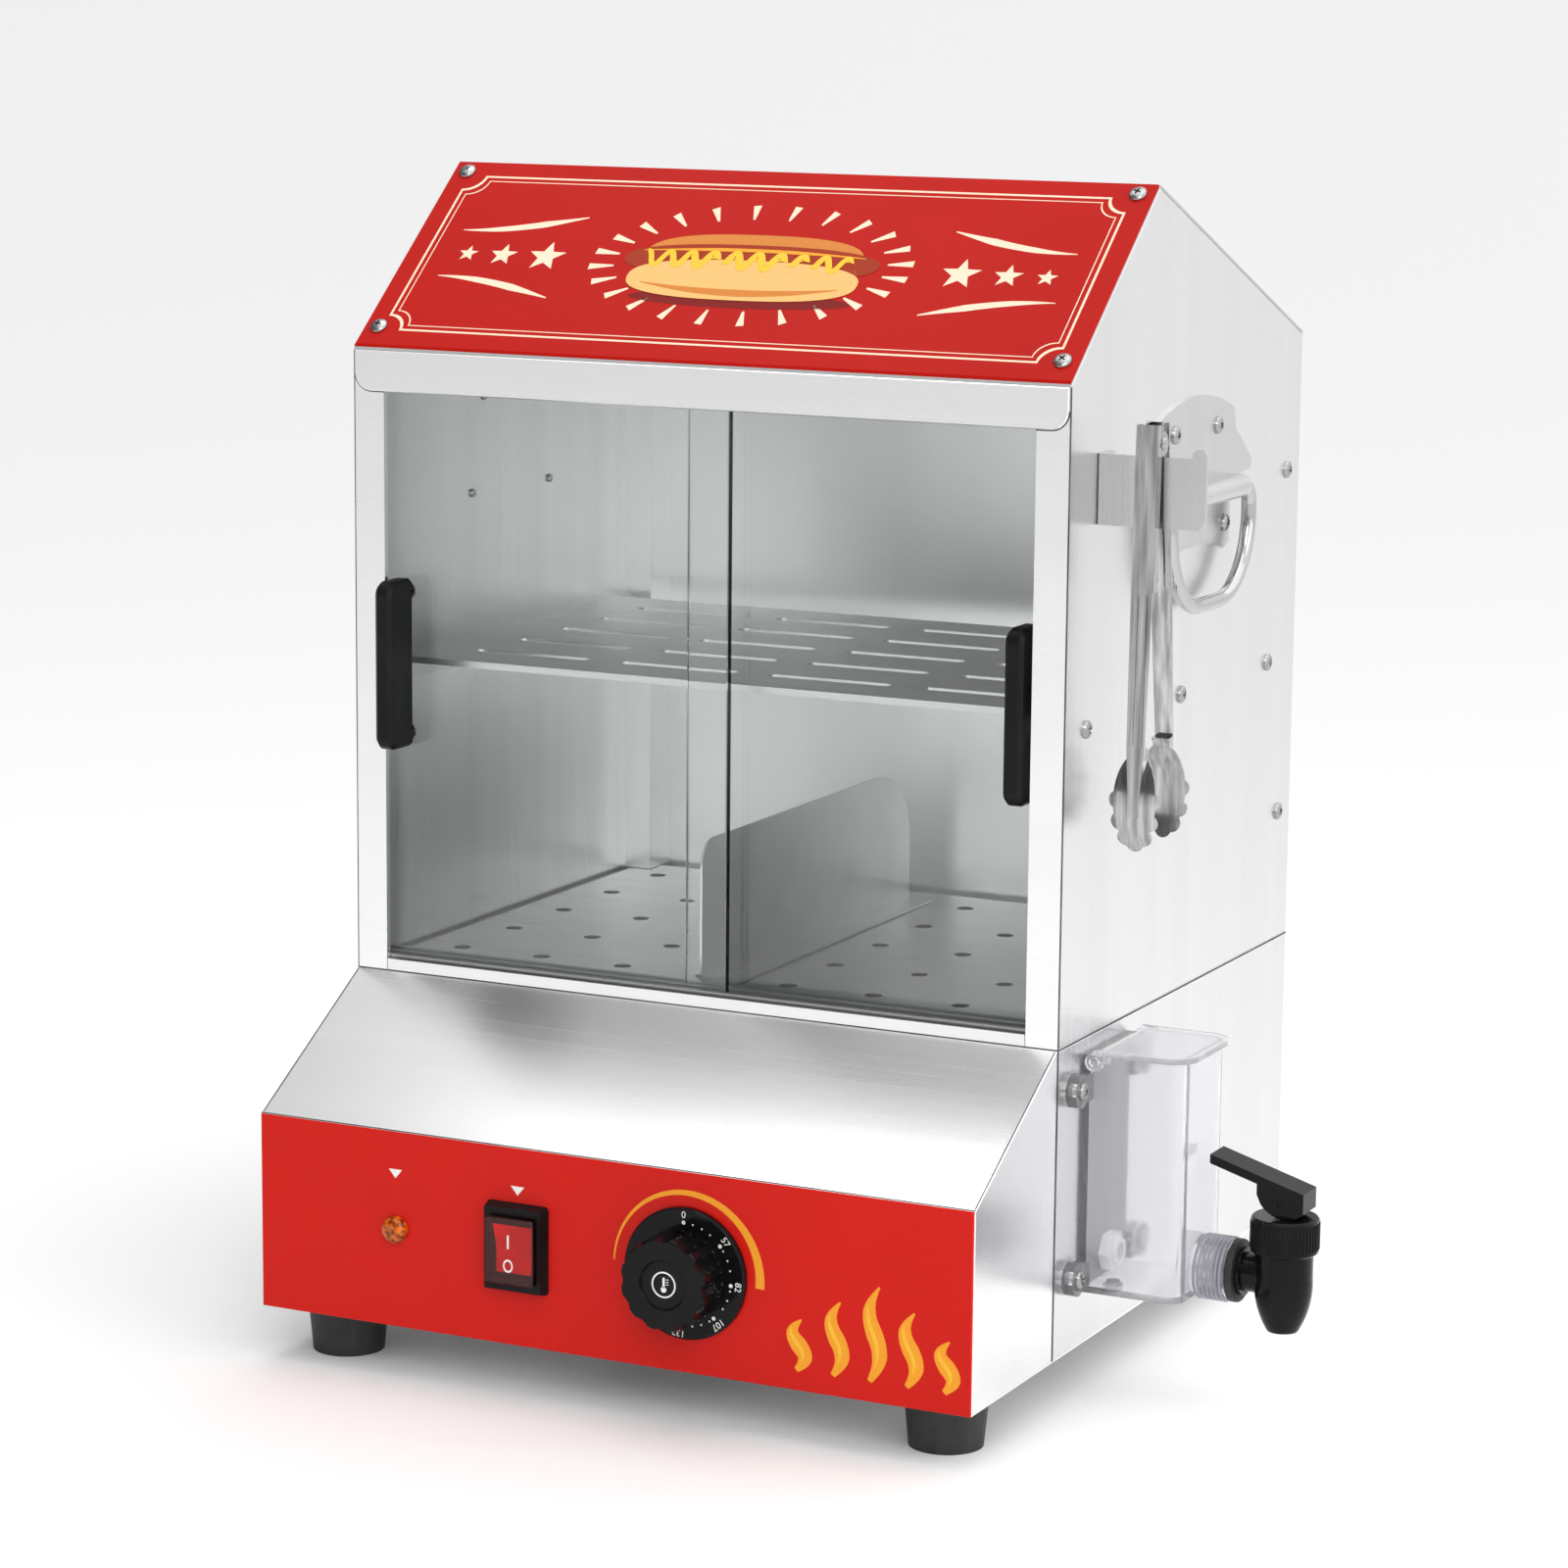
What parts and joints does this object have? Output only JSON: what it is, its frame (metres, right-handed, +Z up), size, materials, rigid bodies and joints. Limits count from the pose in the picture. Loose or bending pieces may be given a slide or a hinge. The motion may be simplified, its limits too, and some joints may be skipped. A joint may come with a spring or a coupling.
{
  "type": "hot dog steamer",
  "caption": "Counter-top food steamer: glazed cabinet with sliding doors over a water pan, sloping control box, side water box with drain tap, and hanging tongs.",
  "frame": {"origin": "on the table, midway between the four feet", "axes": "+X to the right and +Y to the back as seen by someone who stands in front, +Z up"},
  "size_m": [0.4581, 0.4043, 0.5217],
  "materials": {
    "stainless": "brushed stainless sheet, grain along the fold lines",
    "track_aluminium": "drawn, satin",
    "red_fascia": "satin red paint with printed marks",
    "red_sign": "semi-gloss red paint with a printed border",
    "black_rubber": "matte moulded rubber",
    "plated_screw": "bright zinc plated",
    "amber_lens": "clear amber, faceted",
    "black_plastic": "fine moulded texture",
    "tap_black": "semi-gloss moulded",
    "dial_black": "semi-gloss with white print",
    "red_boot": "clear red silicone",
    "red_rocker": "gloss",
    "sensor_copper": "drawn copper tube",
    "element_steel": "heat-darkened sheath",
    "chrome_plate": "bright plated",
    "polished_steel": "polished stainless",
    "door_glass": "clear, ground edges",
    "clear_plastic": "clear moulded",
    "white_plastic": "natural moulded"
  },
  "bodies": {
    "cabinet": {"back_panel": "stainless", "base_deck": "stainless", "base_end_walls": "stainless", "base_side_walls": "stainless", "bottom_plate": "stainless", "bulkhead_nuts": "plated_screw", "bun_shelf": "stainless", "cable_gland": "black_plastic", "control_box": "stainless", "corner_channels": "stainless", "dial_plate": "dial_black", "door_stiles": "stainless", "drain_plug": "black_rubber", "fascia_panel": "red_fascia", "foot_screws": "plated_screw", "front_header": "stainless", "handle_plates": "chrome_plate", "heating_element": "element_steel", "indicator_body": "black_plastic", "indicator_lens": "amber_lens", "inlet_fitting": "white_plastic", "joint_gasket": "black_rubber", "left_side_panel": "stainless", "lower_track": "track_aluminium", "panel_screws": "plated_screw", "right_side_panel": "stainless", "roof_panel": "stainless", "rubber_feet": "black_rubber", "sign_panel": "red_sign", "steam_rack": "stainless", "switch_boot": "red_boot", "switch_housing": "black_plastic", "tap_body": "tap_black", "tap_collar": "tap_black", "tap_gasket": "black_rubber", "thermostat_body": "black_plastic", "thermostat_sensor": "sensor_copper", "tongs_bracket": "stainless", "upper_track": "track_aluminium", "water_box": "clear_plastic", "water_pan": "stainless"},
    "left_door": {"left_door_glass": "door_glass", "left_door_handle": "black_plastic", "left_door_screws": "plated_screw"},
    "right_door": {"right_door_glass": "door_glass", "right_door_handle": "black_plastic", "right_door_screws": "plated_screw"},
    "thermostat_knob": {"knob": "black_plastic", "knob_shaft": "plated_screw"},
    "switch_rocker": {"rocker": "red_rocker"},
    "tap_valve": {"tap_stem": "white_plastic"},
    "tap_handle": {"tap_lever": "tap_black"},
    "box_lid": {"water_box_lid": "clear_plastic"},
    "left_ring": {"left_carry_ring": "chrome_plate"},
    "right_ring": {"right_carry_ring": "chrome_plate"},
    "tongs_hinge": {"tongs_rivet": "polished_steel", "tongs_spring": "polished_steel"},
    "tongs_front": {"tongs_front_arm": "polished_steel"},
    "tongs_rear": {"tongs_rear_arm": "polished_steel"},
    "bay_divider": {"divider": "stainless"}
  },
  "joints": [
    {"name": "left_door_slide", "type": "slide", "parent": "cabinet", "child": "left_door", "axis": [1, 0, 0], "range_m": [0, 0.133]},
    {"name": "right_door_slide", "type": "slide", "parent": "cabinet", "child": "right_door", "axis": [1, 0, 0], "range_m": [-0.133, 0]},
    {"name": "knob_turn", "type": "hinge", "parent": "cabinet", "child": "thermostat_knob", "pos_m": [0.04, -0.19, 0.068], "axis": [0, 1, 0], "range_deg": [0, 190]},
    {"name": "rocker_tip", "type": "hinge", "parent": "cabinet", "child": "switch_rocker", "pos_m": [-0.042, -0.18, 0.068], "axis": [1, 0, 0], "range_deg": [-14, 0]},
    {"name": "tap_stem_lift", "type": "slide", "parent": "cabinet", "child": "tap_valve", "axis": [0, 0, 1], "range_m": [0, 0.002]},
    {"name": "tap_lever_press", "type": "hinge", "parent": "tap_valve", "child": "tap_handle", "pos_m": [0.257, -0.0423, 0.095], "axis": [0, 1, 0], "range_deg": [-18, 0], "stiffness_Nm_per_rad": 0.06, "springref_deg": 20.05},
    {"name": "box_lid_hinge", "type": "hinge", "parent": "cabinet", "child": "box_lid", "pos_m": [0.1785, -0.0423, 0.1519], "axis": [0, -1, 0], "range_deg": [0, 88]},
    {"name": "left_ring_swing", "type": "hinge", "parent": "cabinet", "child": "left_ring", "pos_m": [-0.1815, 0.044, 0.385], "axis": [0, 1, 0], "range_deg": [0, 90]},
    {"name": "right_ring_swing", "type": "hinge", "parent": "cabinet", "child": "right_ring", "pos_m": [0.1815, 0.044, 0.385], "axis": [0, -1, 0], "range_deg": [0, 90]},
    {"name": "tongs_lift", "type": "slide", "parent": "cabinet", "child": "tongs_hinge", "axis": [0, 0, 1], "range_m": [0, 0.05]},
    {"name": "tongs_front_close", "type": "hinge", "parent": "tongs_hinge", "child": "tongs_front", "pos_m": [0.197, -0.065, 0.418], "axis": [1, 0, 0], "range_deg": [0, 2.4], "stiffness_Nm_per_rad": 0.5, "springref_deg": -5.73},
    {"name": "tongs_rear_close", "type": "hinge", "parent": "tongs_hinge", "child": "tongs_rear", "pos_m": [0.197, -0.065, 0.418], "axis": [1, 0, 0], "range_deg": [-6.25, 0], "stiffness_Nm_per_rad": 0.5, "springref_deg": 5.73},
    {"name": "divider_slide", "type": "slide", "parent": "cabinet", "child": "bay_divider", "axis": [1, 0, 0], "range_m": [-0.12, 0.12]}
  ],
  "couplings": [
    {"joint": "tap_stem_lift", "follows": "tap_lever_press", "m_per_rad": -0.00636},
    {"joint": "tongs_rear_close", "follows": "tongs_front_close", "ratio": -2.6}
  ]
}
